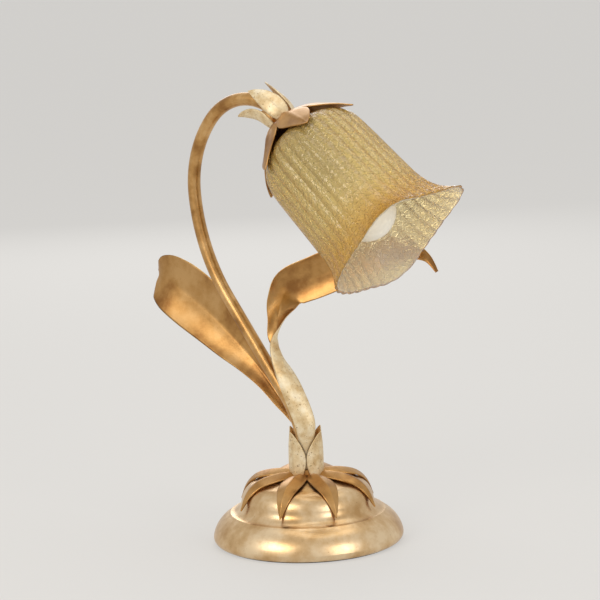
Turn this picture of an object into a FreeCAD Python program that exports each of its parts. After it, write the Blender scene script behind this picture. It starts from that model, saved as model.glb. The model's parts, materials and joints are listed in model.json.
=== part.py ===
# Tulip shade table lamp: a round cast base, a bent tube with two leaves and a glass flower that looks down.
# Millimetres. The origin is the centre of the resting face, +Z is up and +X is the way the flower looks.
import FreeCAD, Part
import math
import os

os.makedirs("parts", exist_ok=True)
V = FreeCAD.Vector

# Driving dimensions

# fits
running_gap = 0.05          # radial, thread or shaft in its hole
slip_gap = 0.25             # radial, pieces that pass through a hole
seat_gap = 0.3              # sheet laid over a casting

# felt and bottom cover
felt_thick = 1.5
cover_thick = 2.0
cover_gap = 0.5             # radial, cover inside the casting's foot

# cast base, outer profile
bead_radius = 73.0
bead_height = 6.0
bead_bulge = 0.7
foot_inset = 2.0            # from the bead in to the foot's edge
band_inset = 12.0           # from the bead in to the top of the band
band_top_height = 22.6
band_bulge = 2.3
step_inset = 1.5            # from the band in to the foot of the flare
step_height = 23.8
waist_radius = 50.5
waist_height = 34.0
flare_hollow = 2.4
dome_shoulder_radius = 37.0
dome_shoulder_height = 46.8
shoulder_bulge = 3.0
dome_flat_radius = 13.0
dome_height = 51.0
crown_bulge = 0.6
base_wall = 2.0
foot_lip = 1.2              # height of the cast edge above the table

# posts inside the base and the screws that reach them
post_count = 3
post_circle = 36.0
post_radius = 5.0
screw_radius = 2.0
screw_head_radius = 4.0
screw_length = 26.0

# ballast ring
weight_outer = 58.0
weight_inner = 22.0
weight_thick = 14.0

# rosette of sheet leaves on the dome
rosette_points = 8
rosette_thick = 0.9
rosette_tip_radius = 53.0
rosette_notch_radius = 39.5
rosette_edge_bulge = 1.2
rosette_front = -52.0       # the gap between two leaves that looks to the front

# mains inlet
inlet_height = 9.5
inlet_bore = 3.2            # radius of the bushing's hole
inlet_body = 4.1            # radius of the bushing's body
inlet_flange = 5.4
inlet_flange_thick = 1.6
inlet_length = 8.2
inlet_seat_depth = 2.4      # from the bead in to the flange's seat
inlet_boss = 5.9
inlet_boss_depth = 7.0      # from the bead in to the boss's inner end

# terminal block
block_length = 22.0
block_width = 16.0
block_height = 13.0
block_centre = 40.0         # distance behind the lamp's axis
terminal_screw_radius = 1.6

# tube and its path
tube_radius = 5.0
tube_bore = 4.0
tube_tail = 40.0            # height of the tube's lower end
rise_radius, rise_turn = 92.0, 36.5
straight_run = 89.8
bow_radius, bow_turn = 153.0, 32.0
shoulder_radius, shoulder_turn = 80.0, 46.0
crook_radius, crook_turn = 47.5, 90.0
neck_straight = 5.0
neck_thread = 13.0
cable_radius = 2.3
cable_bend = 14.0

# clamping stack at the foot of the tube
washer_thick = 1.2
washer_radius = 9.5
nut_thick = 4.0
nut_flats = 14.0
calyx_plate = 0.8
collar_radius = 11.5
collar_height = 4.0

# foot calyx
calyx_leaves = 4
calyx_leaf_turn = -7.0
calyx_radius = 13.2
calyx_sheet = 0.8
calyx_root_width = 13.0

# large leaves
leaf_thick = 1.1

# head, measured along its axis from the neck
ferrule_radius = 8.0
ferrule_length = 4.0
cup_plate = 0.9
cup_plate_radius = 9.5
cup_mid_radius, cup_mid_depth = 31.0, 16.0
cup_radius, cup_depth = 48.5, 34.5
sepal_count = 6
sepal_turn = -15.0
sepal_notch_radius = 25.5
sepal_edge_bulge = 2.2
neck_plate_radius = 11.0
neck_leaf_turn = 0.0
neck_leaf_sheet = 0.8

# lampholder
holder_cap_radius = 15.5
holder_cap_top = 9.0
holder_cap_end = 16.0
collar_end = 19.0
holder_collar = 18.5
holder_thread = 14.0
holder_end = 68.0
holder_wall = 1.65
holder_shoulder = 34.0
holder_back_bore = 11.0
insert_floor = 42.0
insert_end = 66.5
sleeve_radius = 8.0
sleeve_end = 65.8
cap_radius = 6.95           # E14 cap over its thread
contact_face = 45.0         # where bulb and centre contact meet
contact_travel = 1.41       # half a turn of the 2.82 mm E14 thread
contact_head = 4.5
contact_pin = 2.0

# shade ring
ring_radius = 20.0
ring_flange = 2.2
ring_hub_radius = 17.0
ring_height = 6.5

# glass
glass_hole = 14.8
glass_wall = 2.8
glass_rim_wall = 2.5
glass_plate = 3.0
lobe_count = 4
lobe_turn = 48.0
lobe_sharpness = 1.5

# bulb
bulb_radius = 22.5
bulb_centre = 99.0
bulb_neck = 8.0
bulb_wall = 0.9
bulb_cap_start = 47.0
bulb_cap_flare = 8.5
bulb_cap_end = 71.0
bulb_join = 82.0            # where the neck's curve meets the ball
bulb_neck_bulge = 0.6
cap_wall = 0.4

# Worked out

foot_radius = bead_radius - foot_inset
band_top_radius = bead_radius - band_inset
step_radius = band_top_radius - step_inset
cover_radius = foot_radius - base_wall - cover_gap
inlet_seat = bead_radius - inlet_seat_depth
cover_top = felt_thick + cover_thick
rosette_turn = rosette_front + 180.0 / rosette_points
weight_top = cover_top + weight_thick
rosette_top = dome_height + seat_gap + rosette_thick
plate_top = rosette_top + calyx_plate
collar_top = plate_top + collar_height


# Small helpers

def polar(radius, degrees, height=0.0):
    """A point at a radius and an angle about Z."""
    a = math.radians(degrees)
    return V(radius * math.cos(a), radius * math.sin(a), height)


def bulged(start, end, bulge):
    """An arc from start to end in the XZ plane whose middle stands out to the right of the way by bulge."""
    chord = end - start
    side = V(chord.z, 0, -chord.x).normalize()
    middle = (start + end) * 0.5 + side * bulge
    return Part.Arc(start, middle, end).toShape()


def path_edges(start, steps):
    """Edges in the XZ plane. Each step is an end point (x, z), or (x, z, bulge) for an arc."""
    edges = []
    here = V(start[0], 0, start[1])
    for step in steps:
        there = V(step[0], 0, step[1])
        if len(step) == 3:
            edges.append(bulged(here, there, step[2]))
        else:
            edges.append(Part.makeLine(here, there))
        here = there
    return edges


def turned(start, *steps):
    """A solid of revolution about Z from a closed outline in the XZ plane."""
    edges = path_edges(start, steps + (start,))
    face = Part.Face(Part.Wire(edges))
    return face.revolve(V(0, 0, 0), V(0, 0, 1), 360)


def ring(outer, inner, low, high):
    """A flat ring, or a disc when inner is 0."""
    body = Part.makeCylinder(outer, high - low, V(0, 0, low))
    if inner > 0:
        body = body.cut(Part.makeCylinder(inner, high - low + 2, V(0, 0, low - 1)))
    return body


def sheet_turned(edges, near, far):
    """Sheet metal of revolution between two offsets of an open outline."""
    wire = Part.Wire(edges)
    inside = wire if near == 0 else wire.makeOffset2D(near, 2, False, True)
    outside = wire.makeOffset2D(far, 2, False, True)
    inner_ends = (inside.OrderedVertexes[0].Point, inside.OrderedVertexes[-1].Point)
    outer_ends = (outside.OrderedVertexes[0].Point, outside.OrderedVertexes[-1].Point)
    if inner_ends[0].distanceToPoint(outer_ends[0]) > inner_ends[0].distanceToPoint(outer_ends[1]):
        outer_ends = (outer_ends[1], outer_ends[0])
    caps = [Part.makeLine(inner_ends[0], outer_ends[0]), Part.makeLine(inner_ends[1], outer_ends[1])]
    face = Part.Face(Part.Wire(Part.__sortEdges__(inside.Edges + outside.Edges + caps)))
    return face.revolve(V(0, 0, 0), V(0, 0, 1), 360)


def star_prism(points, tip, notch, turn, bulge, low, high):
    """A prism with a star outline: pointed tips, and edges that swell out by bulge."""
    step = 360.0 / points
    edges = []
    for k in range(points):
        tip_point = polar(tip, turn + k * step, low)
        for side in (-1, 1):
            notch_point = polar(notch, turn + (k + side * 0.5) * step, low)
            middle = (tip_point + notch_point) * 0.5
            along = (tip_point - notch_point).normalize()
            out = V(along.y, -along.x, 0) * (-side)
            arc = Part.Arc(notch_point, middle + out * bulge, tip_point).toShape()
            edges.append(arc)
    wire = Part.Wire(Part.__sortEdges__(edges))
    return Part.Face(wire).extrude(V(0, 0, high - low))


def hexagon(flats, low, high, bore):
    """A nut: a hexagonal prism with a bore."""
    corner = flats / math.sqrt(3)
    corners = [polar(corner, 60 * k, low) for k in range(7)]
    body = Part.Face(Part.makePolygon(corners)).extrude(V(0, 0, high - low))
    return body.cut(Part.makeCylinder(bore, high - low + 2, V(0, 0, low - 1)))


def leaf_section(centre, along, across, width, camber, thick):
    """A crescent across a leaf: its back swells by camber, and its face lies thick below the back."""
    along = V(along).normalize()
    across = V(across) - along * V(across).dot(along)
    across.normalize()
    back = across.cross(along)
    left = centre - across * (width / 2)
    right = centre + across * (width / 2)
    crest = centre + back * camber
    drop = back * thick
    outer = Part.Arc(left, crest, right).toShape()
    inner = Part.Arc(right - drop, crest - drop, left - drop).toShape()
    return Part.Wire([outer, Part.makeLine(right, right - drop), inner, Part.makeLine(left - drop, left)])


def leaf(stations, thick, first_along):
    """A sheet leaf lofted through stations of (centre, across, width, camber)."""
    centres = [V(*s[0]) for s in stations]
    sections = []
    for k, (centre, across, width, camber) in enumerate(stations):
        if k == 0:
            along = V(*first_along)
        elif k == len(stations) - 1:
            along = centres[k] - centres[k - 1]
        else:
            along = centres[k + 1] - centres[k - 1]
        sections.append(leaf_section(centres[k], along, V(*across), width, camber, thick))
    return Part.makeLoft(sections, True, False)


def save(name, shape):
    """Write one piece."""
    solids = shape.Solids
    if len(solids) == 1:
        shape = solids[0]
    shape.exportStep("parts/" + name + ".step")
    print(name, "solids", len(solids), "valid", shape.isValid(), "volume", round(shape.Volume, 1))


# Tube path

def tube_path(start_height):
    """Edges of the tube's centre line, from start_height up to the start of the straight neck."""
    here = V(0, 0, collar_top)
    heading = 90.0
    edges = [Part.makeLine(V(0, 0, start_height), here)]
    bends = ((rise_radius, rise_turn), (straight_run, 0.0), (bow_radius, -bow_turn),
             (shoulder_radius, -shoulder_turn), (crook_radius, -crook_turn))
    for size, turn in bends:
        if turn == 0.0:
            there = here + V(math.cos(math.radians(heading)), 0, math.sin(math.radians(heading))) * size
            edges.append(Part.makeLine(here, there))
        else:
            side = 1 if turn > 0 else -1
            centre = here + V(-math.sin(math.radians(heading)), 0, math.cos(math.radians(heading))) * size * side

            def on_arc(share):
                a = math.radians(heading + turn * share)
                return centre + V(math.sin(a), 0, -math.cos(a)) * size * side

            there = on_arc(1.0)
            edges.append(Part.Arc(here, on_arc(0.5), there).toShape())
            heading += turn
        here = there
    return edges, here, heading


stem_edges, crook_end, head_heading = tube_path(tube_tail)
head_axis = V(math.cos(math.radians(head_heading)), 0, math.sin(math.radians(head_heading)))
head_up = V(-head_axis.z, 0, head_axis.x)
head_side = head_axis.cross(head_up)
neck = crook_end + head_axis * neck_straight
head_turn = FreeCAD.Rotation(head_up, head_side, head_axis, "ZXY")
head_place = FreeCAD.Placement(neck, head_turn)


def on_head(shape):
    """Move a piece that was made along Z to the head's axis."""
    moved = shape.copy()
    moved.Placement = head_place.multiply(moved.Placement)
    return moved


def crook_frame(back):
    """The tube's centre and its outward normal at a distance back from the neck along the tube."""
    if back <= neck_straight:
        return neck - head_axis * back, head_up
    turn = (back - neck_straight) / crook_radius
    centre = crook_end - head_up * crook_radius
    normal = head_up * math.cos(turn) - head_axis * math.sin(turn)
    return centre + normal * crook_radius, normal


def swept(edges, radius):
    """A round bar along a path."""
    wire = Part.Wire(edges)
    start = edges[0].valueAt(edges[0].FirstParameter)
    heading = edges[0].tangentAt(edges[0].FirstParameter)
    circle = Part.Wire(Part.Circle(start, heading, radius).toShape())
    return wire.makePipeShell([circle], True, False)


# Base

def base_outline():
    """The cast base's outer profile, from its foot to the centre of the dome."""
    return path_edges((foot_radius, foot_lip), (
        (bead_radius, bead_height, bead_bulge),
        (band_top_radius, band_top_height, band_bulge),
        (step_radius, step_height),
        (waist_radius, waist_height, -flare_hollow),
        (dome_shoulder_radius, dome_shoulder_height, shoulder_bulge),
        (dome_flat_radius, dome_height, crown_bulge),
        (tube_radius + slip_gap, dome_height)))


def base_shell():
    """The casting: its wall, a pad for the rosette, three posts, the seat of the inlet and the screw holes."""
    bore = tube_radius + slip_gap
    shell = sheet_turned(base_outline(), 0, base_wall)
    shell = shell.fuse(ring(dome_flat_radius - 0.5, bore, dome_height - base_wall / 2, dome_height + seat_gap))
    closing = path_edges((bore, dome_height), ((0, dome_height), (0, foot_lip), (foot_radius, foot_lip)))
    envelope = Part.Face(Part.Wire(base_outline() + closing)).revolve(V(0, 0, 0), V(0, 0, 1), 360)
    hollow = envelope.cut(shell)
    inlet_way = V(1, 0, 0)
    boss = Part.makeCylinder(inlet_boss, inlet_boss_depth, V(-bead_radius, 0, inlet_height), inlet_way)
    shell = shell.fuse(boss.common(hollow))
    for k in range(post_count):
        post = Part.makeCylinder(post_radius, dome_height, polar(post_circle, 360.0 * k / post_count, weight_top))
        shell = shell.fuse(post.common(hollow))
    for k in range(post_count):
        spot = polar(post_circle, 360.0 * k / post_count, weight_top - 1)
        shell = shell.cut(Part.makeCylinder(screw_radius + running_gap, screw_length - weight_thick, spot))
    outside = V(-2 * bead_radius, 0, inlet_height)
    hole = Part.makeCylinder(inlet_body + running_gap, 2 * bead_radius, outside, inlet_way)
    seat = Part.makeCylinder(inlet_flange + slip_gap, 2 * bead_radius - inlet_seat, outside, inlet_way)
    return shell.cut(hole).cut(seat).removeSplitter()


def base_weight():
    """The ballast ring, with holes for the cover screws."""
    body = ring(weight_outer, weight_inner, cover_top, weight_top)
    for k in range(post_count):
        spot = polar(post_circle, 360.0 * k / post_count, cover_top - 1)
        body = body.cut(Part.makeCylinder(screw_radius + slip_gap, weight_thick + 2, spot))
    return body


def bottom_cover():
    """The plate that closes the base, with countersunk holes."""
    body = ring(cover_radius, 0, felt_thick, cover_top)
    for k in range(post_count):
        spot = polar(post_circle, 360.0 * k / post_count, felt_thick)
        sink = Part.makeCone(screw_head_radius, screw_radius + slip_gap, cover_thick, spot)
        body = body.cut(sink)
    return body


def cover_screws():
    """Countersunk screws from the cover into the posts."""
    screws = []
    for k in range(post_count):
        spot = polar(post_circle, 360.0 * k / post_count, felt_thick)
        head = Part.makeCone(screw_head_radius - running_gap, screw_radius, cover_thick, spot)
        shank = Part.makeCylinder(screw_radius, screw_length - 2, spot)
        screws.append(head.fuse(shank).removeSplitter())
    return Part.makeCompound(screws)


def base_rosette():
    """Eight sheet leaves in one pressing, laid over the dome, with a flat hub for the tube."""
    edges = path_edges((step_radius, step_height), (
        (waist_radius, waist_height, -flare_hollow),
        (dome_shoulder_radius, dome_shoulder_height, shoulder_bulge),
        (dome_flat_radius, dome_height, crown_bulge),
        (tube_radius + slip_gap, dome_height)))
    sheet = sheet_turned(edges, -seat_gap, -seat_gap - rosette_thick)
    star = star_prism(rosette_points, rosette_tip_radius, rosette_notch_radius, rosette_turn,
                      rosette_edge_bulge, 0, 2 * rosette_top)
    return sheet.common(star)


def foot_calyx():
    """Four upright leaves on a ring plate round the foot of the tube."""
    plate = ring(calyx_radius, tube_radius + slip_gap, rosette_top, plate_top)
    body = plate
    low = rosette_top + calyx_plate * 0.25
    rows = ((0.0, calyx_radius - 0.1, calyx_root_width), (6.0, calyx_radius + 0.1, 17.0),
            (14.0, calyx_radius + 0.2, 17.5), (22.0, calyx_radius + 0.4, 13.0),
            (29.0, calyx_radius + 1.6, 6.5), (34.0, calyx_radius + 3.6, 1.6))
    for k in range(calyx_leaves):
        turn = calyx_leaf_turn + 360.0 * k / calyx_leaves
        stations = []
        for rise, out, width in rows:
            spot = polar(out, turn, low + rise)
            camber = calyx_radius - math.sqrt(calyx_radius ** 2 - width ** 2 / 4)
            across = polar(1, turn + 90)
            stations.append((tuple(spot - polar(camber, turn)), tuple(across), width, camber))
        body = body.fuse(leaf(stations, calyx_sheet, (0, 0, 1)))
    return body.removeSplitter()


def cord_bushing():
    """The plastic bushing of the mains inlet, lying along X at the back of the rim."""
    body = turned((inlet_bore, 0), (inlet_flange, 0), (inlet_flange, inlet_flange_thick),
                  (inlet_body, inlet_flange_thick), (inlet_body, inlet_length), (inlet_bore, inlet_length))
    body.Placement = FreeCAD.Placement(V(-inlet_seat - inlet_flange_thick, 0, inlet_height),
                                       FreeCAD.Rotation(V(0, 1, 0), 90))
    return body


def terminal_block():
    """The block on the ballast ring, with wells for its screws."""
    block = Part.makeBox(block_width, block_length, block_height,
                         V(-block_centre - block_width / 2, -block_length / 2, weight_top))
    block = block.makeChamfer(0.8, [e for e in block.Edges if abs(e.tangentAt(0).z) > 0.9])
    for spot in terminal_spots():
        block = block.cut(Part.makeCylinder(terminal_screw_radius + slip_gap, 6, spot))
    return block


def terminal_spots():
    """Where the terminal screws stand, at the bottom of their wells."""
    high = weight_top + block_height - 5
    return [V(-block_centre + dx, dy, high) for dx in (-4, 4) for dy in (-5, 5)]


def terminal_screws():
    """Small cheese-head screws in the block."""
    return Part.makeCompound([Part.makeCylinder(terminal_screw_radius, 3.4, s) for s in terminal_spots()])


def inner_cable():
    """The cable from the terminal block, up through the tube, to the lampholder's insert."""
    level = tube_tail - 3 - cable_bend
    start = V(-block_centre + block_width / 2, 0, level)
    bend_start = V(-cable_bend, 0, level)
    bend_end = V(0, 0, level + cable_bend)
    half = math.sqrt(0.5)
    bend_mid = V(-cable_bend + cable_bend * half, 0, level + cable_bend - cable_bend * half)
    edges = [Part.makeLine(start, bend_start), Part.Arc(bend_start, bend_mid, bend_end).toShape()]
    tube_edges, end, _ = tube_path(bend_end.z)
    edges += tube_edges
    edges.append(Part.makeLine(end, neck + head_axis * holder_shoulder))
    return swept(edges, cable_radius)


def stem_tube():
    """The bent tube, threaded at both ends for its nuts."""
    edges = list(stem_edges)
    edges.append(Part.makeLine(crook_end, neck + head_axis * neck_thread))
    return swept(edges, tube_radius).cut(swept(edges, tube_bore))


# Large leaves

def left_leaf():
    """The broad leaf: its stalk runs up beside the tube, and its tip curls back."""
    return leaf((
        ((-5.0, 6.4, collar_top), (-0.79, -0.62, 0.0), 6.5, 0.8),
        ((-6.3, 8.0, 71.0), (-0.79, -0.62, 0.0), 7.5, 1.0),
        ((-10.0, 10.2, 83.0), (-0.72, -0.65, -0.20), 8.5, 1.3),
        ((-20.6, 10.4, 95.0), (-0.60, -0.65, -0.40), 10.5, 1.8),
        ((-31.0, 10.4, 105.0), (-0.50, -0.58, -0.52), 13.0, 2.4),
        ((-44.4, 10.8, 119.4), (-0.45, -0.45, -0.65), 17.5, 3.0),
        ((-61.0, 12.0, 133.0), (-0.45, -0.30, -0.75), 25.0, 4.0),
        ((-80.0, 13.0, 148.0), (-0.45, -0.22, -0.80), 35.0, 5.0),
        ((-103.0, 14.5, 163.5), (-0.45, -0.20, -0.82), 42.0, 5.5),
        ((-126.0, 16.0, 176.5), (-0.45, -0.20, -0.84), 45.0, 5.5),
        ((-146.0, 19.0, 187.0), (-0.40, -0.20, -0.86), 42.0, 5.0),
        ((-159.0, 25.0, 192.5), (-0.30, -0.20, -0.90), 35.0, 4.0),
        ((-165.0, 33.5, 191.5), (-0.15, -0.20, -0.95), 23.0, 2.5),
        ((-165.5, 41.0, 186.0), (0.0, -0.20, -0.98), 6.0, 0.8)),
        leaf_thick, (0, 0, 1))


def right_leaf():
    """The twisted leaf: back outwards in front of the tube, half a turn at its waist, then behind the flower."""
    return leaf((
        ((5.2, -6.6, collar_top), (0.79, 0.62, 0.0), 8.0, 1.4),
        ((5.7, -7.2, 71.0), (0.79, 0.62, 0.0), 9.5, 1.7),
        ((7.0, -8.4, 82.0), (0.79, 0.62, 0.0), 12.5, 2.2),
        ((7.6, -9.4, 92.0), (0.79, 0.62, 0.0), 15.5, 2.8),
        ((4.0, -9.8, 103.0), (0.79, 0.62, 0.0), 16.5, 3.2),
        ((-3.5, -9.6, 118.0), (0.79, 0.62, 0.0), 16.0, 3.4),
        ((-11.5, -8.4, 131.0), (0.53, 0.85, 0.0), 14.5, 3.6),
        ((-20.5, -5.5, 143.0), (-0.10, 1.0, 0.0), 12.5, 3.6),
        ((-28.0, -0.5, 154.5), (-0.75, 0.62, 0.05), 12.5, 3.6),
        ((-32.5, 7.0, 167.0), (-1.0, 0.0, 0.2), 17.0, 3.6),
        ((-33.0, 15.0, 180.0), (-0.62, -0.46, 0.64), 25.0, 4.2),
        ((-28.0, 24.5, 191.0), (-0.32, -0.25, 0.92), 31.0, 4.8),
        ((-11.0, 34.0, 199.0), (-0.12, -0.09, 0.99), 33.0, 5.0),
        ((10.0, 44.0, 208.2), (0.0, 0.0, 1.0), 32.5, 4.8),
        ((33.0, 55.0, 216.5), (0.0, 0.0, 1.0), 28.0, 4.2),
        ((54.0, 65.0, 219.5), (0.05, 0.05, 1.0), 18.0, 2.8),
        ((67.0, 71.5, 214.0), (0.30, 0.15, 0.9), 9.0, 1.4),
        ((73.0, 77.0, 202.5), (0.75, 0.3, 0.55), 2.4, 0.4)),
        leaf_thick, (0, 0, 1))


# Head

def neck_calyx():
    """Four small leaves on a ring plate, pointing back along the tube."""
    body = on_head(ring(neck_plate_radius, tube_radius + slip_gap, 0, calyx_plate))
    reach = {0: 44.0, 1: 36.0, 2: 37.0, 3: 36.0}
    lift = {0: 3.0, 1: 4.0, 2: 9.0, 3: 4.0}
    for k in range(4):
        turn = math.radians(neck_leaf_turn + 90.0 * k)
        stations = []
        for share, out, width in ((0.0, 10.6, 11.0), (0.14, 12.6, 16.0), (0.36, 13.4, 17.0),
                                  (0.62, 12.8, 13.5), (0.84, 12.2, 7.5), (1.0, 12.6, 1.6)):
            back = reach[k] * share - calyx_plate * 0.5
            centre, normal = crook_frame(back)
            radial = normal * math.cos(turn) + head_side * math.sin(turn)
            across = normal * -math.sin(turn) + head_side * math.cos(turn)
            out += lift[k] * share ** 3
            camber = out - math.sqrt(out ** 2 - width ** 2 / 4)
            spot = centre + radial * (out - camber)
            stations.append((tuple(spot), tuple(across * -1), width, camber))
        body = body.fuse(leaf(stations, neck_leaf_sheet, tuple(head_axis * -1)))
    return body.removeSplitter()


def sepal_cup():
    """A cup of six pointed sepals over the shoulder of the glass."""
    low = calyx_plate
    edges = path_edges((tube_radius + slip_gap, low), (
        (cup_plate_radius, low),
        (cup_mid_radius, cup_mid_depth, -1.2),
        (cup_radius, cup_depth, -0.8)))
    sheet = sheet_turned(edges, 0, cup_plate)
    star = star_prism(sepal_count, cup_radius - 0.6, sepal_notch_radius, sepal_turn, sepal_edge_bulge, 0, 2 * cup_depth)
    return sheet.common(star)


def holder_cap():
    """The lampholder's dome: threaded on the tube's end, open towards the body."""
    low = calyx_plate + cup_plate + washer_thick + nut_thick - 1.0
    wall = 1.5
    return turned((tube_radius + running_gap, low), (holder_cap_top, low),
                  (holder_cap_radius, low + 5.0, 1.0), (holder_cap_radius, holder_cap_end),
                  (holder_cap_radius - wall, holder_cap_end), (holder_cap_radius - wall, low + 6.5),
                  (holder_cap_top, low + 4.0), (tube_radius + running_gap, low + 4.0))


def holder_body():
    """The lampholder's skirt: a fixed collar for the glass and a thread for the shade ring."""
    inner = holder_thread - holder_wall
    return turned((holder_back_bore, holder_cap_end), (holder_collar, holder_cap_end),
                  (holder_collar, collar_end), (holder_thread, collar_end), (holder_thread, holder_end),
                  (inner, holder_end), (inner, holder_shoulder), (holder_back_bore, holder_shoulder))


def holder_insert():
    """The ceramic insert: a floor with the well of the centre contact, and a bore for the sleeve."""
    outer = holder_thread - holder_wall - running_gap
    well = insert_floor - 6.0
    return turned((0, holder_shoulder), (outer, holder_shoulder), (outer, insert_end),
                  (sleeve_radius, insert_end), (sleeve_radius, insert_floor),
                  (contact_pin + running_gap, insert_floor), (contact_pin + running_gap, well), (0, well))


def contact_sleeve():
    """The threaded side contact, shown by its bore."""
    return ring(sleeve_radius - 0.02, cap_radius + 0.07, insert_floor + 2.5, sleeve_end)


def centre_contact():
    """The sprung centre contact: a pin in the insert's well and a head that the bulb presses."""
    head_low = insert_floor + 0.3
    return turned((0, insert_floor - 4.0), (contact_pin, insert_floor - 4.0), (contact_pin, head_low),
                  (contact_head, head_low), (contact_head, head_low + 1.2), (contact_pin, head_low + 1.2),
                  (contact_pin, contact_face), (0, contact_face))


def shade_ring():
    """The ring on the lampholder's thread: a flange under the glass and a knurled hub."""
    low = collar_end + glass_plate
    bore = holder_thread + running_gap
    body = turned((bore, low), (ring_radius, low), (ring_radius, low + ring_flange),
                  (ring_hub_radius, low + ring_flange), (ring_hub_radius, low + ring_height),
                  (bore, low + ring_height))
    for k in range(24):
        spot = polar(ring_hub_radius + 0.35, 15 * k, low + ring_flange)
        body = body.cut(Part.makeCylinder(0.9, ring_height, spot))
    return body


# depth from the neck, radius in a valley, radius at a lobe
glass_rows = (
    (19.0, 23.0, 23.0), (20.0, 27.2, 27.2), (22.0, 31.6, 31.6), (25.4, 35.8, 35.8), (29.6, 39.2, 39.2),
    (35.0, 41.6, 41.6), (42.0, 43.0, 43.0), (56.0, 44.0, 44.0), (74.0, 44.8, 44.8), (92.0, 45.6, 45.6),
    (104.0, 46.2, 46.4), (113.0, 46.8, 48.8), (120.5, 48.0, 52.8), (127.0, 49.8, 58.4), (132.5, 52.0, 65.5))


def glass_radius(valley, lobe, degrees):
    """Radius of the glass at an angle: four lobes, with flatter stretches between them."""
    wave = (1 + math.cos(math.radians(lobe_count * (degrees - lobe_turn)))) / 2
    return valley + (lobe - valley) * wave ** lobe_sharpness


def glass_ring(depth, valley, lobe, inset):
    """A closed curve round the glass."""
    count = lobe_count * 12
    points = []
    for k in range(count):
        degrees = 360.0 * k / count
        points.append(polar(glass_radius(valley, lobe, degrees) - inset(degrees), degrees, depth))
    curve = Part.BSplineCurve()
    curve.interpolate(points, PeriodicFlag=True)
    return Part.Wire(curve.toShape())


def glass_shade():
    """The glass: an outer and an inner loft, a hole in its neck and four lobes that flare at the rim."""
    outer = []
    inner = []
    for depth, valley, lobe in glass_rows:
        outer.append(glass_ring(depth, valley, lobe, lambda degrees: 0.0))
    for k, (depth, valley, lobe) in enumerate(glass_rows):
        if k < 2:
            continue
        before = glass_rows[k - 1]
        after = glass_rows[min(k + 1, len(glass_rows) - 1)]
        share = (k - 2) / (len(glass_rows) - 3)
        wall = glass_wall + (glass_rim_wall - glass_wall) * share

        def inset(degrees, before=before, after=after, wall=wall):
            rise = glass_radius(after[1], after[2], degrees) - glass_radius(before[1], before[2], degrees)
            slope = rise / (after[0] - before[0])
            return wall * math.sqrt(1 + slope * slope)

        inner.append(glass_ring(depth, valley, lobe, inset))
    body = Part.makeLoft(outer, True, False).cut(Part.makeLoft(inner, True, False))
    return body.cut(Part.makeCylinder(glass_hole, 10, V(0, 0, collar_end - 5)))


def bulb_cap():
    """The E14 cap, shown by its outside, with the flare that holds the glass."""
    wall = cap_wall
    flare_low = insert_end + 1.0
    return turned((cap_radius - 1.5, bulb_cap_start), (cap_radius, bulb_cap_start + 1.2),
                  (cap_radius, flare_low), (bulb_cap_flare, flare_low + 1.0), (bulb_cap_flare, bulb_cap_end),
                  (bulb_cap_flare - wall, bulb_cap_end), (bulb_cap_flare - wall, flare_low + 1.2),
                  (cap_radius - wall, flare_low + 0.2), (cap_radius - wall, bulb_cap_start + 1.6),
                  (cap_radius - 1.5 - wall, bulb_cap_start + wall))


def bulb_contact():
    """The black insulator and the solder point of the bulb."""
    return turned((0, contact_face), (2.4, contact_face), (2.6, contact_face + 0.8),
                  (cap_radius - 1.5 - cap_wall, bulb_cap_start + cap_wall),
                  (cap_radius - cap_wall, bulb_cap_start + 1.6),
                  (cap_radius - cap_wall, bulb_cap_start + 3.0), (0, bulb_cap_start + 3.0))


def bulb_glass():
    """The bulb's envelope: a ball that narrows to a neck inside the cap's flare."""
    ball_in = bulb_radius - bulb_wall
    neck_in = bulb_neck - bulb_wall
    neck_low = bulb_cap_end - 1.2
    neck_high = bulb_cap_end + 1.0
    low = bulb_join - bulb_centre
    join_out = math.sqrt(bulb_radius ** 2 - low ** 2)
    join_in = math.sqrt(ball_in ** 2 - low ** 2)

    def ball_arc(radius, start_radius):
        """The ball's outline from the neck's curve to the far pole."""
        middle = (math.atan2(low, start_radius) + math.pi / 2) / 2
        start = V(start_radius, 0, bulb_join)
        over = V(radius * math.cos(middle), 0, bulb_centre + radius * math.sin(middle))
        return Part.Arc(start, over, V(0, 0, bulb_centre + radius)).toShape()

    edges = [
        Part.makeLine(V(neck_in, 0, neck_low), V(bulb_neck, 0, neck_low)),
        Part.makeLine(V(bulb_neck, 0, neck_low), V(bulb_neck, 0, neck_high)),
        bulged(V(bulb_neck, 0, neck_high), V(join_out, 0, bulb_join), -bulb_neck_bulge),
        ball_arc(bulb_radius, join_out),
        Part.makeLine(V(0, 0, bulb_centre + bulb_radius), V(0, 0, bulb_centre + ball_in)),
        ball_arc(ball_in, join_in),
        bulged(V(neck_in, 0, neck_high), V(join_in, 0, bulb_join), -bulb_neck_bulge),
        Part.makeLine(V(neck_in, 0, neck_high), V(neck_in, 0, neck_low))]
    outline = Part.Wire(Part.__sortEdges__(edges))
    return Part.Face(outline).revolve(V(0, 0, 0), V(0, 0, 1), 360)


# Build

stack = calyx_plate + cup_plate
thread_hole = tube_radius + running_gap

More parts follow.
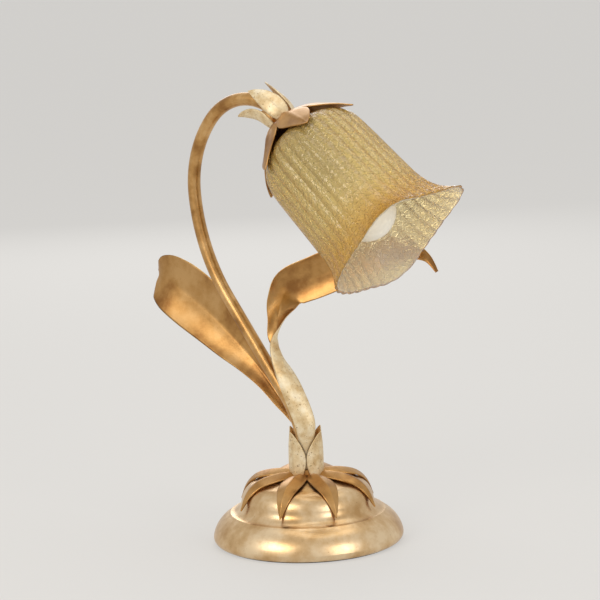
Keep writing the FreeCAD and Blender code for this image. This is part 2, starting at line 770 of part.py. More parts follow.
save("felt_pad", ring(cover_radius, 0, 0, felt_thick))
save("bottom_cover", bottom_cover())
save("base_weight", base_weight())
save("cover_screws", cover_screws())
save("base_shell", base_shell())
save("base_rosette", base_rosette())
save("foot_calyx", foot_calyx())
save("stem_collar", ring(collar_radius, thread_hole, plate_top, collar_top))
save("base_washer", ring(washer_radius, tube_radius + slip_gap, dome_height - base_wall - washer_thick,
                         dome_height - base_wall))
save("base_nut", hexagon(nut_flats, dome_height - base_wall - washer_thick - nut_thick,
                         dome_height - base_wall - washer_thick, thread_hole))
save("cord_bushing", cord_bushing())
save("terminal_block", terminal_block())
save("terminal_screws", terminal_screws())
save("inner_cable", inner_cable())
save("stem_tube", stem_tube())
save("left_leaf", left_leaf())
save("right_leaf", right_leaf())
save("neck_ferrule", on_head(ring(ferrule_radius, thread_hole, -ferrule_length, 0)))
save("neck_calyx", neck_calyx())
save("sepal_cup", on_head(sepal_cup()))
save("neck_washer", on_head(ring(washer_radius - 1.0, tube_radius + slip_gap, stack, stack + washer_thick)))
save("neck_nut", on_head(hexagon(nut_flats, stack + washer_thick, stack + washer_thick + nut_thick - 1.0,
                                 thread_hole)))
save("holder_cap", on_head(holder_cap()))
save("holder_body", on_head(holder_body()))
save("holder_insert", on_head(holder_insert()))
save("contact_sleeve", on_head(contact_sleeve()))
save("centre_contact", on_head(centre_contact()))
save("shade_ring", on_head(shade_ring()))
save("glass_shade", on_head(glass_shade()))
save("bulb_cap", on_head(bulb_cap()))
save("bulb_contact", on_head(bulb_contact()))
save("bulb_glass", on_head(bulb_glass()))
print("neck", neck, "axis", head_axis, "collar top", collar_top)
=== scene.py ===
import bmesh
import bpy
import json
import math
from mathutils import Matrix, Quaternion, Vector


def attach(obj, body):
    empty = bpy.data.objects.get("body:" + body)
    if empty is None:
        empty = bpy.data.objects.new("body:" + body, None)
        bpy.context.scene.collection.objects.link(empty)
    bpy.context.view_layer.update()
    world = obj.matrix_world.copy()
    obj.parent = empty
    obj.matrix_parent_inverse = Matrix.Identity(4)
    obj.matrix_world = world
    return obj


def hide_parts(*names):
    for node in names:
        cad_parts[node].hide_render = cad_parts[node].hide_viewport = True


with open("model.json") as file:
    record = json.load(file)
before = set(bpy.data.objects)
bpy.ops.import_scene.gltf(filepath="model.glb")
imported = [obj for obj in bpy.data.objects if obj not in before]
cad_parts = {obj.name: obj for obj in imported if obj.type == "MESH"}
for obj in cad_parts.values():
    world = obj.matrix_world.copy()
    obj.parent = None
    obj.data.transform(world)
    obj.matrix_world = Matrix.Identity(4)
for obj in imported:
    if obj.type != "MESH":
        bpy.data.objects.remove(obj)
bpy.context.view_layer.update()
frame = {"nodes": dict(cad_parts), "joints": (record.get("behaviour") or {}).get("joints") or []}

mm = 0.001
joints = {joint["name"]: joint for joint in frame["joints"]}
headAxis = Vector(joints["ring_turn"]["axis"]).normalized()
headUp = Vector((-headAxis.z, 0, headAxis.x))
headSide = headAxis.cross(headUp)
ringDepth = 24.2            # mm from the neck to the ring's joint
neckPoint = Vector(joints["ring_turn"]["pos_m"]) - headAxis * ringDepth * mm


def headPoint(depth, radius, angle):
    return neckPoint + (headAxis * depth + headUp * radius * math.cos(angle)
                        + headSide * radius * math.sin(angle)) * mm


photoView = {
    "azimuth": 38.0,         # degrees, from the front towards +X
    "elevation": 15.0,       # seen from the centre of the base
    "distance": 1.8,         # metres, from the centre of the base
    "aim": (-0.0004, -0.0003, 0.1867),
    "roll": -2.0,            # the photograph leans a little
    "lens": 139.35,          # mm
    "sensor": 36.0,          # mm wide
}


def addCamera():
    azimuth = math.radians(photoView["azimuth"])
    elevation = math.radians(photoView["elevation"])
    level = math.cos(elevation)
    toCamera = Vector((math.sin(azimuth) * level, -math.cos(azimuth) * level, math.sin(elevation)))
    place = toCamera * photoView["distance"]
    data = bpy.data.cameras.new("photoCamera")
    data.lens = photoView["lens"]
    data.sensor_width = photoView["sensor"]
    camera = bpy.data.objects.new("photoCamera", data)
    bpy.context.scene.collection.objects.link(camera)
    turn = (Vector(photoView["aim"]) - place).to_track_quat("-Z", "Y")
    camera.matrix_world = Matrix.Translation(place) @ (turn @ Quaternion(
        (0, 0, 1), math.radians(photoView["roll"]))).to_matrix().to_4x4()
    bpy.context.scene.camera = camera


def srgbToLinear(code):
    channels = [int(code[i:i + 2], 16) / 255 for i in (1, 3, 5)]
    linear = [c / 12.92 if c <= 0.04045 else ((c + 0.055) / 1.055) ** 2.4 for c in channels]
    return (*linear, 1.0)


def addNode(tree, kind, settings=None, links=None):
    # settings name a property of the node or one of its sockets,
    # links join a socket to another node's output
    node = tree.nodes.new(kind)
    for name, value in (settings or {}).items():
        if isinstance(name, int):
            node.inputs[name].default_value = value
        elif name in node.inputs and not hasattr(node, name):
            node.inputs[name].default_value = value
        else:
            setattr(node, name, value)
    for name, output in (links or {}).items():
        tree.links.new(output, node.inputs[name])
    return node


lampSetup = {
    "key": {"place": (-0.15, -1.75, 1.15), "size": (1.0, 0.8), "watts": 12.0, "colour": "#fff8ee"},
    "rightFill": {"place": (1.9, -0.35, 0.75), "size": (0.8, 1.0), "watts": 8.0, "colour": "#fffaf4"},
    "top": {"place": (0.1, 0.3, 1.7), "size": (1.2, 1.2), "watts": 7.0, "colour": "#ffffff"},
    "behind": {"place": (-1.2, 1.3, 0.8), "size": (0.9, 0.9), "watts": 5.0, "colour": "#ffffff"},
}
studio = {
    "floor": "#e4e2de", "world": "#e9e8e6", "worldStrength": 0.72,
    "seen": "#dddbd8",       # what the camera, metal and glass see behind the lamp
    "shadowShare": 0.34,     # how much of the floor's own light and shadow shows
    "floorSize": 60.0,       # metres
    "aim": (0, 0, 0.18),     # where the lamps point
}


def seenRays(tree):
    # 1 for the rays by which the camera, glass or metal sees the surroundings
    path = addNode(tree, "ShaderNodeLightPath")
    straight = addNode(tree, "ShaderNodeMath", {"operation": "ADD", "use_clamp": True},
                       {0: path.outputs["Is Camera Ray"], 1: path.outputs["Is Transmission Ray"]})
    rays = addNode(tree, "ShaderNodeMath", {"operation": "ADD", "use_clamp": True},
                   {0: straight.outputs[0], 1: path.outputs["Is Glossy Ray"]})
    return rays.outputs[0]


def addStudio():
    scene = bpy.context.scene
    scene.view_settings.view_transform = "Standard"
    for name, spec in lampSetup.items():
        data = bpy.data.lights.new(name, "AREA")
        data.shape = "RECTANGLE"
        data.size, data.size_y = spec["size"]
        data.energy = spec["watts"]
        data.color = srgbToLinear(spec["colour"])[:3]
        lamp = bpy.data.objects.new(name, data)
        place = Vector(spec["place"])
        lamp.matrix_world = Matrix.Translation(place) @ (
            Vector(studio["aim"]) - place).to_track_quat("-Z", "Y").to_matrix().to_4x4()
        scene.collection.objects.link(lamp)

    world = bpy.data.worlds.new("paleStudio")
    scene.world = world
    world.use_nodes = True
    tree = world.node_tree
    tree.nodes.clear()
    seen = addNode(tree, "ShaderNodeBackground", {"Color": srgbToLinear(studio["seen"]), "Strength": 1.0})
    light = addNode(tree, "ShaderNodeBackground", {"Color": srgbToLinear(studio["world"]),
                                                   "Strength": studio["worldStrength"]})
    mix = addNode(tree, "ShaderNodeMixShader", {},
                  {0: seenRays(tree), 1: light.outputs[0], 2: seen.outputs[0]})
    addNode(tree, "ShaderNodeOutputWorld", {}, {"Surface": mix.outputs[0]})

    half = studio["floorSize"] / 2
    mesh = bpy.data.meshes.new("studioFloor")
    corners = [(-half, -half, 0), (half, -half, 0), (half, half, 0), (-half, half, 0)]
    mesh.from_pydata(corners, [], [(0, 1, 2, 3)])
    floor = bpy.data.objects.new("studioFloor", mesh)
    scene.collection.objects.link(floor)
    paint = bpy.data.materials.new("mattFloorPaint")
    paint.use_nodes = True
    tree = paint.node_tree
    shader = tree.nodes["Principled BSDF"]
    shader.inputs["Base Color"].default_value = srgbToLinear(studio["floor"])
    shader.inputs["Roughness"].default_value = 0.9
    share = addNode(tree, "ShaderNodeMath", {"operation": "MULTIPLY", 1: 1 - studio["shadowShare"]},
                    {0: seenRays(tree)})
    seen = addNode(tree, "ShaderNodeEmission", {"Color": srgbToLinear(studio["seen"]), "Strength": 1.0})
    mix = addNode(tree, "ShaderNodeMixShader", {},
                  {0: share.outputs[0], 1: shader.outputs[0], 2: seen.outputs[0]})
    tree.links.new(mix.outputs[0], tree.nodes["Material Output"].inputs["Surface"])
    mesh.materials.append(paint)


addCamera()
addStudio()
print("camera, lamps and floor are in place")


def newMaterial(name):
    material = bpy.data.materials.new(name)
    material.use_nodes = True
    tree = material.node_tree
    return material, tree, tree.nodes["Principled BSDF"]


def patternSpace(tree, size):
    # object coordinates scaled so that one unit is the given size in millimetres
    place = addNode(tree, "ShaderNodeTexCoord")
    return addNode(tree, "ShaderNodeVectorMath", {"operation": "SCALE", "Scale": 1 / (size * mm)},
                   {0: place.outputs["Object"]}).outputs[0]


def gildedFinish(name, look):
    # metal leaf over primer: a warm sheen, thin cloudy wear, brown glaze in scattered specks
    material, tree, shader = newMaterial(name)
    cloud = addNode(tree, "ShaderNodeTexNoise", {"Scale": 1.0, "Detail": 5.0, "Roughness": 0.6},
                    {"Vector": patternSpace(tree, look["cloud"])})
    speck = addNode(tree, "ShaderNodeTexNoise", {"Scale": 1.0, "Detail": 3.0, "Roughness": 0.7},
                    {"Vector": patternSpace(tree, look["speck"])})
    tone = addNode(tree, "ShaderNodeValToRGB", {}, {0: cloud.outputs[0]})
    tone.color_ramp.elements[0].position = 0.34
    tone.color_ramp.elements[0].color = srgbToLinear(look["deep"])
    tone.color_ramp.elements[1].position = 0.66
    tone.color_ramp.elements[1].color = srgbToLinear(look["pale"])
    middle = tone.color_ramp.elements.new(0.5)
    middle.color = srgbToLinear(look["colour"])
    spots = addNode(tree, "ShaderNodeValToRGB", {}, {0: speck.outputs[0]})
    spots.color_ramp.elements[0].position = look["speckEdge"]
    spots.color_ramp.elements[0].color = (0, 0, 0, 1)
    spots.color_ramp.elements[1].position = look["speckEdge"] + 0.1
    spots.color_ramp.elements[1].color = (1, 1, 1, 1)
    glaze = addNode(tree, "ShaderNodeMix", {"data_type": "RGBA"},
                    {0: spots.outputs[0], 6: tone.outputs[0]})
    glaze.inputs[7].default_value = srgbToLinear(look["glaze"])
    tree.links.new(glaze.outputs[2], shader.inputs["Base Color"])
    shader.inputs["Metallic"].default_value = look["metallic"]
    rough = addNode(tree, "ShaderNodeMapRange", {3: look["roughness"] - 0.07, 4: look["roughness"] + 0.09},
                    {0: cloud.outputs[0]})
    tree.links.new(rough.outputs[0], shader.inputs["Roughness"])
    bump = addNode(tree, "ShaderNodeBump", {"Strength": look["bump"], "Distance": 0.0004},
                   {"Height": speck.outputs[0]})
    tree.links.new(bump.outputs[0], shader.inputs["Normal"])
    return material


giltCasting = gildedFinish("gilded zinc casting, polished by hand", {
    "colour": "#d9b88a", "deep": "#c19a68", "pale": "#ecd3ad", "glaze": "#95704a",
    "cloud": 22.0, "speck": 1.6, "speckEdge": 0.66, "metallic": 1.0, "roughness": 0.30, "bump": 0.10})
giltSheet = gildedFinish("gilded iron sheet, antiqued", {
    "colour": "#b98d55", "deep": "#95683a", "pale": "#c9a06a", "glaze": "#6d4824",
    "cloud": 26.0, "speck": 1.4, "speckEdge": 0.66, "metallic": 1.0, "roughness": 0.36, "bump": 0.15})
giltTube = gildedFinish("gilded iron tube, rubbed", {
    "colour": "#c0935a", "deep": "#9c7040", "pale": "#d9b078", "glaze": "#6d4a28",
    "cloud": 18.0, "speck": 1.2, "speckEdge": 0.68, "metallic": 1.0, "roughness": 0.32, "bump": 0.12})
creamGilt = gildedFinish("cream patina brushed over gilding", {
    "colour": "#e2cda4", "deep": "#cdb080", "pale": "#f0e2c4", "glaze": "#8f6c42",
    "cloud": 9.0, "speck": 1.8, "speckEdge": 0.60, "metallic": 0.45, "roughness": 0.45, "bump": 0.25})


glassTint = {
    "facing": "#f7e094", "edge": "#dc9c2e",          # paler where the eye meets it square
    "flareFacing": "#f0c45a", "flareEdge": "#cf8722",
    "flareStart": 96.0, "flareEnd": 122.0,           # mm from the neck, where the amber deepens
    # inside: near-white cream on the inner skin, painted light that stands in for the lit inside of the shade
    "inside": "#fbf3df",
    "ripple": 4.0,                                   # mm, the crackle's cells, a little coarse so that they show
}


def pressedGlass(name, facing, edge, flareFacing, flareEdge, roughness, clear, relief):
    # blown in a ribbed mould and crackled: amber body, deeper at the flare,
    # with fine ripples that break the light
    material, tree, shader = newMaterial(name)
    place = addNode(tree, "ShaderNodeTexCoord")
    along = addNode(tree, "ShaderNodeVectorMath", {"operation": "DOT_PRODUCT", 1: tuple(headAxis)},
                    {0: place.outputs["Object"]})
    start = neckPoint.dot(headAxis)
    depth = addNode(tree, "ShaderNodeMapRange", {1: start + glassTint["flareStart"] * mm,
                                                 2: start + glassTint["flareEnd"] * mm},
                    {0: along.outputs["Value"]})
    weight = addNode(tree, "ShaderNodeLayerWeight", {"Blend": 0.35})
    body, flare = [addNode(tree, "ShaderNodeMix",
                           {"data_type": "RGBA", 6: srgbToLinear(square), 7: srgbToLinear(glancing)},
                           {0: weight.outputs["Facing"]})
                   for square, glancing in ((facing, edge), (flareFacing, flareEdge))]
    tint = addNode(tree, "ShaderNodeMix", {"data_type": "RGBA"},
                   {0: depth.outputs[0], 6: body.outputs[2], 7: flare.outputs[2]})
    tree.links.new(tint.outputs[2], shader.inputs["Base Color"])
    shader.inputs["Roughness"].default_value = roughness
    shader.inputs["IOR"].default_value = 1.5
    shader.inputs["Transmission Weight"].default_value = clear
    crackle = addNode(tree, "ShaderNodeTexVoronoi", {"feature": "DISTANCE_TO_EDGE", "Scale": 1.0},
                      {"Vector": patternSpace(tree, glassTint["ripple"])})
    ripple = addNode(tree, "ShaderNodeTexNoise", {"Scale": 1.0, "Detail": 3.0, "Roughness": 0.5},
                     {"Vector": patternSpace(tree, glassTint["ripple"])})
    veins = addNode(tree, "ShaderNodeMapRange", {1: 0.0, 2: 0.12, 3: 0.0, 4: 0.5},
                    {0: crackle.outputs["Distance"]})
    height = addNode(tree, "ShaderNodeMath", {"operation": "ADD"},
                     {0: veins.outputs[0], 1: ripple.outputs[0]})
    bump = addNode(tree, "ShaderNodeBump", {"Strength": relief, "Distance": 0.0006},
                   {"Height": height.outputs[0]})
    tree.links.new(bump.outputs[0], shader.inputs["Normal"])
    return material


amberGlass = pressedGlass("amber glass, blown in a ribbed mould",
                          glassTint["facing"], glassTint["edge"],
                          glassTint["flareFacing"], glassTint["flareEdge"],
                          roughness=0.09, clear=0.72, relief=0.7)
# the inner skin's cream is painted light: it stands in for the brightly lit inside of the shade
paintedLightInnerGlass = pressedGlass("cream tinted glass, crackled inside",
                          *[glassTint["inside"]] * 4,
                          roughness=0.3, clear=0.62, relief=0.9)


def plainFinish(name, colour, metallic, roughness, grain, bump):
    # one colour, a little darker and lighter by turns, on a faint grain of the given size in mm
    material, tree, shader = newMaterial(name)
    texture = addNode(tree, "ShaderNodeTexNoise", {"Scale": 1.0, "Detail": 4.0},
                      {"Vector": patternSpace(tree, grain)})
    tone = addNode(tree, "ShaderNodeValToRGB", {}, {0: texture.outputs[0]})
    shade = srgbToLinear(colour)
    tone.color_ramp.elements[0].color = tuple(c * 0.88 for c in shade[:3]) + (1,)
    tone.color_ramp.elements[1].color = tuple(min(1, c * 1.1) for c in shade[:3]) + (1,)
    tree.links.new(tone.outputs[0], shader.inputs["Base Color"])
    shader.inputs["Metallic"].default_value = metallic
    shader.inputs["Roughness"].default_value = roughness
    relief = addNode(tree, "ShaderNodeBump", {"Strength": bump, "Distance": 0.0002},
                     {"Height": texture.outputs[0]})
    tree.links.new(relief.outputs[0], shader.inputs["Normal"])
    return material


# what it is, colour, metallic, roughness, grain in mm, strength of the grain's relief
bakelite = plainFinish("brown bakelite, moulded", "#3a2415", 0.0, 0.28, 2.0, 0.1)
frostedGlass = plainFinish("opal bulb glass, frosted inside", "#f4efe2", 0.0, 0.35, 3.0, 0.05)
drawnAluminium = plainFinish("drawn aluminium", "#c9c8c4", 1.0, 0.3, 0.6, 0.1)
spunBrass = plainFinish("turned brass", "#cfae62", 1.0, 0.28, 0.5, 0.1)
zincSteel = plainFinish("zinc plated steel", "#b9b8b2", 1.0, 0.32, 0.8, 0.1)
blackGlass = plainFinish("black insulating glass", "#15151a", 0.0, 0.12, 1.0, 0.05)
glazedCeramic = plainFinish("glazed ceramic", "#e8e3d8", 0.0, 0.15, 4.0, 0.05)
blackNylon = plainFinish("black nylon, moulded", "#1d1a17", 0.0, 0.45, 0.8, 0.15)
whiteNylon = plainFinish("white nylon, moulded", "#dedbd2", 0.0, 0.45, 0.8, 0.15)
rawIron = plainFinish("raw cast iron", "#3c3936", 0.8, 0.65, 1.2, 0.6)
greyLacquer = plainFinish("grey lacquered steel", "#4a4744", 0.2, 0.5, 0.7, 0.2)
darkFelt = plainFinish("dark wool felt", "#2d2925", 0.0, 0.95, 0.5, 0.9)
goldSheath = plainFinish("gold coloured cable sheath", "#bfa56a", 0.0, 0.4, 1.0, 0.1)

nodeFinish = {
    "felt_pad": darkFelt, "bottom_cover": greyLacquer, "base_weight": rawIron, "cover_screws": zincSteel,
    "base_shell": giltCasting, "stem_collar": giltTube, "base_washer": zincSteel, "base_nut": zincSteel,
    "cord_bushing": blackNylon, "terminal_block": whiteNylon, "terminal_screws": spunBrass,
    "inner_cable": goldSheath, "stem_tube": giltTube, "neck_ferrule": giltTube, "neck_washer": zincSteel,
    "neck_nut": zincSteel, "holder_cap": bakelite, "holder_body": bakelite, "holder_insert": glazedCeramic,
    "contact_sleeve": spunBrass, "centre_contact": spunBrass, "shade_ring": bakelite,
    "bulb_cap": drawnAluminium, "bulb_contact": blackGlass, "bulb_glass": frostedGlass,
}
for nodeName, finish in nodeFinish.items():
    cadPiece = frame["nodes"][nodeName]
    cadPiece.data.materials.clear()
    cadPiece.data.materials.append(finish)
print("finishes are on the CAD nodes")


def addPiece(name, verts, faces, materials, faceMaterials=None):
    mesh = bpy.data.meshes.new(name)
    mesh.from_pydata(verts, [], faces)
    for material in materials:
        mesh.materials.append(material)
    if faceMaterials:
        mesh.polygons.foreach_set("material_index", faceMaterials)
    mesh.polygons.foreach_set("use_smooth", [True] * len(mesh.polygons))
    skin = bmesh.new()
    skin.from_mesh(mesh)
    bmesh.ops.remove_doubles(skin, verts=skin.verts, dist=1e-6)
    bmesh.ops.recalc_face_normals(skin, faces=skin.faces)
    skin.to_mesh(mesh)
    skin.free()
    mesh.update()
    piece = bpy.data.objects.new(name, mesh)
    bpy.context.scene.collection.objects.link(piece)
    return piece


def blendStations(stations, steps):
    # a smooth run through given stations, each a list of numbers
    runs = []
    total = len(stations) - 1
    for k in range(steps + 1):
        place = k / steps * total
        i = min(int(place), total - 1)
        t = place - i
        before = stations[max(i - 1, 0)]
        here, there = stations[i], stations[i + 1]
        after = stations[min(i + 2, total)]
        runs.append([0.5 * (2 * b + (c - a) * t + (2 * a - 5 * b + 4 * c - d) * t * t
                            + (3 * b - a - 3 * c + d) * t ** 3)
                     for a, b, c, d in zip(before, here, there, after)])
    return runs


def leafSheet(rows, across, relief, thick):
    # outer and inner skins of a bent leaf; relief(u, v) is its embossing in mm, v runs from -1 to 1
    outer, inner = [], []
    spots = [Vector(row[:3]) for row in rows]
    for k, row in enumerate(rows):
        along = (spots[min(k + 1, len(rows) - 1)] - spots[max(k - 1, 0)]).normalized()
        side = Vector(row[3:6])
        side = (side - along * side.dot(along)).normalized()
        back = side.cross(along)
        width, camber = max(row[6], 0.3), row[7]
        for j in range(across + 1):
            v = 2 * j / across - 1
            lift = camber * (1 - v * v) + relief(k / (len(rows) - 1), v)
            spot = spots[k] + side * (v * width / 2) + back * lift
            outer.append(spot * mm)
            inner.append((spot - back * thick) * mm)
    verts = outer + inner
    shift = len(outer)
    faces, skins = [], []

    def cell(k, j):
        return k * (across + 1) + j

    for k in range(len(rows) - 1):
        for j in range(across):
            ring = (cell(k, j), cell(k, j + 1), cell(k + 1, j + 1), cell(k + 1, j))
            faces.append(ring)
            skins.append(0)
            faces.append(tuple(i + shift for i in reversed(ring)))
            skins.append(1)
        for j in (0, across):
            a, b = cell(k, j), cell(k + 1, j)
            rim = (a, b, b + shift, a + shift) if j == 0 else (b, a, a + shift, b + shift)
            faces.append(rim)
            skins.append(0)
    for k in (0, len(rows) - 1):
        for j in range(across):
            a, b = cell(k, j), cell(k, j + 1)
            rim = (b, a, a + shift, b + shift) if k == 0 else (a, b, b + shift, a + shift)
            faces.append(rim)
            skins.append(0)
    return verts, faces, skins


leafFineness = {"along": 180, "across": 28}      # faces of the two large leaves
broadLeaf = {
    "thick": 1.1,
    "rows": [   # centre, direction across, width, camber, in mm
        (-5.0, 6.4, 57.0, -0.79, -0.62, 0.0, 6.5, 0.8),
        (-6.3, 8.0, 71.0, -0.79, -0.62, 0.0, 7.5, 1.0),
        (-10.0, 10.2, 83.0, -0.72, -0.65, -0.20, 8.5, 1.3),
        (-20.6, 10.4, 95.0, -0.60, -0.65, -0.40, 10.5, 1.8),
        (-31.0, 10.4, 105.0, -0.50, -0.58, -0.52, 13.0, 2.4),
        (-44.4, 10.8, 119.4, -0.45, -0.45, -0.65, 17.5, 3.0),
        (-61.0, 12.0, 134.0, -0.45, -0.30, -0.75, 26.0, 4.0),
        (-80.0, 13.0, 149.0, -0.45, -0.22, -0.80, 37.0, 5.0),
        (-102.0, 14.0, 165.0, -0.45, -0.20, -0.82, 45.0, 5.5),
        (-124.0, 15.0, 178.0, -0.40, -0.20, -0.86, 48.0, 5.5),
        (-143.0, 16.0, 187.5, -0.30, -0.20, -0.90, 45.0, 5.0),
        (-156.0, 19.0, 192.0, -0.18, -0.20, -0.94, 37.0, 4.0),
        (-163.0, 23.0, 193.0, -0.05, -0.20, -0.97, 24.0, 2.5),
        (-165.5, 27.0, 192.0, 0.0, -0.20, -0.98, 7.0, 0.8)],
}
twistedLeaf = {
    "thick": 1.1,
    "rows": [   # as above
        (5.2, -6.6, 57.0, 0.79, 0.62, 0.0, 8.0, 1.4),
        (5.7, -7.2, 71.0, 0.79, 0.62, 0.0, 9.5, 1.7),
        (7.0, -8.4, 82.0, 0.79, 0.62, 0.0, 12.5, 2.2),
        (7.6, -9.4, 92.0, 0.79, 0.62, 0.0, 15.5, 2.8),
        (4.0, -9.8, 103.0, 0.79, 0.62, 0.0, 16.5, 3.2),
        (-3.5, -9.6, 118.0, 0.79, 0.62, 0.0, 16.0, 3.4),
        (-11.5, -8.4, 131.0, 0.53, 0.85, 0.0, 14.5, 3.6),
        (-20.5, -5.5, 143.0, -0.10, 1.0, 0.0, 12.5, 3.6),
        (-28.0, -0.5, 154.5, -0.75, 0.62, 0.05, 12.5, 3.6),
        (-31.0, 8.0, 167.0, -1.0, 0.0, 0.2, 14.0, 3.6),
        (-31.5, 16.0, 180.0, -0.62, -0.46, 0.64, 23.5, 4.2),
        (-28.0, 24.5, 191.0, -0.32, -0.25, 0.92, 31.0, 4.8),
        (-11.0, 34.0, 199.0, -0.12, -0.09, 0.99, 33.0, 5.0),
        (10.0, 44.0, 208.2, 0.0, 0.0, 1.0, 32.5, 4.8),
        (33.0, 55.0, 216.5, 0.0, 0.0, 1.0, 28.0, 4.2),
        (54.0, 65.0, 219.5, 0.05, 0.05, 1.0, 17.0, 2.8),
        (67.0, 71.5, 214.0, 0.30, 0.15, 0.9, 7.0, 1.4),
        (73.0, 77.0, 202.5, 0.75, 0.3, 0.55, 2.4, 0.4)],
}


def midrib(u, v):
    # a fine raised line down the middle
    return 0.35 * math.exp(-(v / 0.07) ** 2) * math.sin(math.pi * min(1, u * 1.1))


def addSheetPiece(name, node, sheets, materials):
    # several bent sheets joined into one piece that stands for a CAD node
    verts, faces, skins = [], [], []
    for sheetVerts, sheetFaces, sheetSkins in sheets:
        shift = len(verts)
        verts += sheetVerts
        faces += [tuple(i + shift for i in face) for face in sheetFaces]
        skins += sheetSkins
    piece = addPiece(name, verts, faces, materials, skins)
    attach(piece, "lamp")
    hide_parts(node)


for leafName, leafSpec, node in (("broadLeaf", broadLeaf, "left_leaf"),
                                 ("twistedLeaf", twistedLeaf, "right_leaf")):
    leafRows = blendStations(leafSpec["rows"], leafFineness["along"])
    sheet = leafSheet(leafRows, leafFineness["across"], midrib, leafSpec["thick"])
    addSheetPiece(leafName, node, [sheet], [creamGilt, giltSheet])
print("both leaves are bent")


glassShape = {
    "lobeShares": (1.0, 0.25, 1.0, 1.0),         # the lobe at 138 degrees hardly flares
    "lobeTurn": 48.0, "lobeSharpness": 1.5,
    "ribs": 32, "ribDepth": 1.3, "ribFrom": 22.0, "ribFade": 12.0,
    "insideRibShare": 0.35,                      # how much of the ribs shows on the inner skin
    "hole": 14.8, "plate": 3.0, "wall": 2.8, "rimWall": 2.5,
    "facesPerRib": 14, "facesAlong": 110,
    "rows": [   # depth from the neck, radius in a valley, radius at a lobe
        (19.0, 23.0, 23.0), (20.0, 27.2, 27.2), (22.0, 31.6, 31.6), (25.4, 35.8, 35.8), (29.6, 39.2, 39.2),
        (35.0, 41.6, 41.6), (42.0, 43.0, 43.0), (56.0, 44.0, 44.0), (74.0, 44.8, 44.8), (92.0, 45.6, 45.6),
        (104.0, 46.2, 46.4), (113.0, 46.8, 48.8), (120.5, 48.0, 52.8), (127.0, 49.8, 58.4), (132.5, 52.0, 65.5)],
}


def glassFlower():
    # rings of points on the outer and inner skins, from the hole to the rim
    spec = glassShape
    around = spec["ribs"] * spec["facesPerRib"]
    rows = blendStations(spec["rows"], spec["facesAlong"])
    lobeTurn = math.radians(spec["lobeTurn"])

    def radius(row, angle):
        lobes = len(spec["lobeShares"])
        share = spec["lobeShares"][round((angle - lobeTurn) * lobes / (2 * math.pi)) % lobes]
        wave = (1 + math.cos(lobes * (angle - lobeTurn))) / 2
        return row[1] + (row[2] - row[1]) * share * wave ** spec["lobeSharpness"]

    def rib(row, angle):
        fade = min(1, max(0, (row[0] - spec["ribFrom"]) / spec["ribFade"]))
        return spec["ribDepth"] * fade * (abs(math.cos(spec["ribs"] / 2 * angle)) - 0.6)

    outer, inner = [], []
    rimDepth = spec["rows"][-1][0]
    for k, row in enumerate(rows):
        before, after = rows[max(k - 1, 0)], rows[min(k + 1, len(rows) - 1)]
        wall = spec["wall"] + (spec["rimWall"] - spec["wall"]) * k / len(rows)
        for j in range(around):
            angle = 2 * math.pi * j / around
            slope = (radius(after, angle) - radius(before, angle)) / max(after[0] - before[0], 0.01)
            size = math.sqrt(1 + slope * slope)
            wide = radius(row, angle)
            insideWide = wide - wall / size + spec["insideRibShare"] * rib(row, angle)
            outer.append(headPoint(row[0], wide + rib(row, angle), angle))
            inner.append(headPoint(min(row[0] + wall * slope / size, rimDepth), insideWide, angle))
    return outer, inner, around, len(rows)


def buildGlass():
    outer, inner, around, count = glassFlower()
    verts = list(outer) + list(inner)
    shift = len(outer)
    faces, skins = [], []
    for k in range(count - 1):
        for j in range(around):
            a, b = k * around + j, k * around + (j + 1) % around
            faces.append((b, a, a + around, b + around))
            faces.append((a + shift, b + shift, b + around + shift, a + around + shift))
            skins += [0, 1]
    last = (count - 1) * around
    for j in range(around):
        a, b = last + j, last + (j + 1) % around
        faces.append((b, a, a + shift, b + shift))
    holeLow, holeHigh = len(verts), len(verts) + around
    neckDepth = glassShape["rows"][0][0]
    for depth in (neckDepth, neckDepth + glassShape["plate"]):
        for j in range(around):
            verts.append(headPoint(depth, glassShape["hole"], 2 * math.pi * j / around))
    for j in range(around):
        n = (j + 1) % around
        faces.append((holeLow + j, holeLow + n, n, j)[::-1])
        faces.append((holeHigh + j, holeHigh + n, shift + n, shift + j))
        faces.append((holeLow + j, holeLow + n, holeHigh + n, holeHigh + j))
    skins += [0] * (len(faces) - len(skins))
    piece = addPiece("glassFlower", verts, faces, [amberGlass, paintedLightInnerGlass], skins)
    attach(piece, "shade")
    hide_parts("glass_shade")


buildGlass()
print("the glass flower is blown")


def lampPoint(height, radius, angle):
    return Vector((radius * math.cos(angle), radius * math.sin(angle), height))


def lampTangent(angle):
    return Vector((-math.sin(angle), math.cos(angle), 0))


def headPlace(depth, radius, angle):
    return headPoint(depth, radius, angle) / mm


def headTangent(angle):
    return headUp * -math.sin(angle) + headSide * math.cos(angle)


def petalRows(profile, turn, place, tangent, facing):
    # profile rows are height or depth, radius of the middle, width;
    # the camber follows a circle about the axis
    rows = []
    for high, radius, width in profile:
        camber = radius - math.sqrt(max(radius ** 2 - width ** 2 / 4, 0))
        rows.append((*place(high, radius - camber, turn), *(tangent(turn) * facing), width, camber))
    return rows


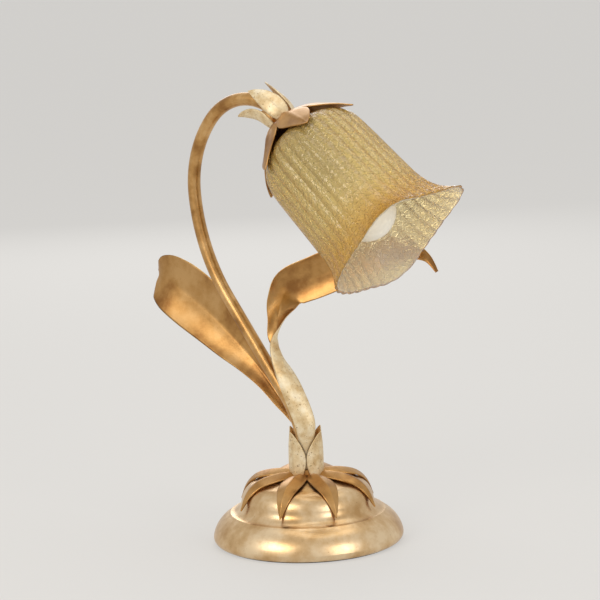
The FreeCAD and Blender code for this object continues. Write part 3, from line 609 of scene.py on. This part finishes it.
footLeaves = {
    "count": 4, "turn": -7.0, "thick": 0.8, "along": 48, "across": 16,
    "rows": [   # height, radius, width
        (52.3, 13.1, 12.5), (56.0, 13.3, 15.5), (61.0, 13.4, 17.6), (68.0, 13.4, 17.6), (75.0, 13.6, 13.5),
        (81.0, 14.4, 7.5), (84.5, 15.6, 3.6), (86.6, 16.8, 0.6)],
}
domeLeaves = {
    "count": 8, "turn": -52.0 + 22.5, "thick": 0.9, "along": 60, "across": 20,
    "rows": [   # height, radius, width
        (52.2, 6.0, 4.6), (52.2, 12.9, 9.9), (52.0, 21.0, 15.8), (50.8, 31.0, 17.6), (48.6, 39.4, 16.0),
        (45.4, 44.8, 13.0), (41.4, 48.8, 9.8), (36.8, 51.8, 6.4), (32.2, 54.0, 3.0), (29.4, 55.6, 0.4)],
}
sepals = {
    "count": 6, "turn": -15.0, "thick": 0.9, "along": 60, "across": 20,
    "rows": [   # depth, radius, width
        (0.8, 5.4, 5.5), (0.8, 9.5, 9.8), (6.0, 18.4, 18.9), (12.0, 26.0, 25.5), (17.0, 31.3, 26.0),
        (22.0, 36.5, 22.0), (27.0, 41.5, 15.5), (31.5, 45.4, 8.0), (34.2, 48.0, 0.8)],
}


def embossed(height, edge):
    # a raised middle line, and an edge that stands off what lies below
    def relief(u, v):
        fade = math.sin(math.pi * min(1.0, 0.15 + u * 0.85))
        return (height * math.exp(-(v / 0.16) ** 2) + edge * abs(v) ** 3) * fade
    return relief


def folded(height):
    # a sharp fold along the middle, as pressed over an edge
    def relief(u, v):
        return height * (1 - abs(v) ** 0.85) * math.sin(math.pi * min(1.0, 0.12 + u * 0.86))
    return relief


def leafRing(spec, place, tangent, facing, relief):
    # equal leaves set round an axis
    sheets = []
    for k in range(spec["count"]):
        turn = math.radians(spec["turn"] + 360 / spec["count"] * k)
        rows = blendStations(petalRows(spec["rows"], turn, place, tangent, facing), spec["along"])
        sheets.append(leafSheet(rows, spec["across"], relief, spec["thick"]))
    return sheets


addSheetPiece("footLeaves", "foot_calyx",
              leafRing(footLeaves, lampPoint, lampTangent, 1, embossed(0.5, 0.0)), [creamGilt, giltSheet])
addSheetPiece("domeLeaves", "base_rosette",
              leafRing(domeLeaves, lampPoint, lampTangent, -1, folded(1.9)), [giltSheet, giltSheet])
addSheetPiece("sepals", "sepal_cup",
              leafRing(sepals, headPlace, headTangent, 1, embossed(1.0, 0.5)), [giltSheet, giltSheet])

crook = {"radius": 47.5, "straight": 5.0}    # the tube's bend behind the head, in mm
neckLeaves = {
    "thick": 0.8, "along": 48, "across": 16,
    "hub": 0.4,                              # mm that the leaves start ahead of the neck
    "leaves": [   # turn about the tube from the top, reach back along it, lift of the tip
        (45.0, 33.0, -2.0), (135.0, 38.0, 5.0), (225.0, 33.0, 3.0), (-42.0, 32.0, 5.0)],
    "rows": [     # share of the reach, radius, width
        (0.0, 10.6, 11.0), (0.14, 12.4, 15.0), (0.36, 13.0, 16.4), (0.62, 12.6, 13.0),
        (0.84, 12.2, 7.0), (1.0, 12.4, 0.8)],
}


def crookPoint(back, turn, radius):
    # a point round the tube, at a distance back from the neck along it
    neckSpot = neckPoint / mm
    if back <= crook["straight"]:
        middle, normal = neckSpot - headAxis * back, headUp
    else:
        bend = (back - crook["straight"]) / crook["radius"]
        normal = headUp * math.cos(bend) - headAxis * math.sin(bend)
        middle = neckSpot - headAxis * crook["straight"] + (normal - headUp) * crook["radius"]
    radial = normal * math.cos(turn) + headSide * math.sin(turn)
    across = headSide * math.cos(turn) - normal * math.sin(turn)
    return middle + radial * radius, across


neckSheets = []
for leafTurn, reach, lift in neckLeaves["leaves"]:
    turn = math.radians(leafTurn)
    rows = []
    for share, radius, width in neckLeaves["rows"]:
        radius += lift * share ** 3
        camber = radius - math.sqrt(radius ** 2 - width ** 2 / 4)
        spot, across = crookPoint(reach * share - neckLeaves["hub"], turn, radius - camber)
        rows.append((*spot, *(across * -1), width, camber))
    rows = blendStations(rows, neckLeaves["along"])
    neckSheets.append(leafSheet(rows, neckLeaves["across"], embossed(0.5, 0.0), neckLeaves["thick"]))
addSheetPiece("neckLeaves", "neck_calyx", neckSheets, [creamGilt, giltSheet])
print("small leaves are set")
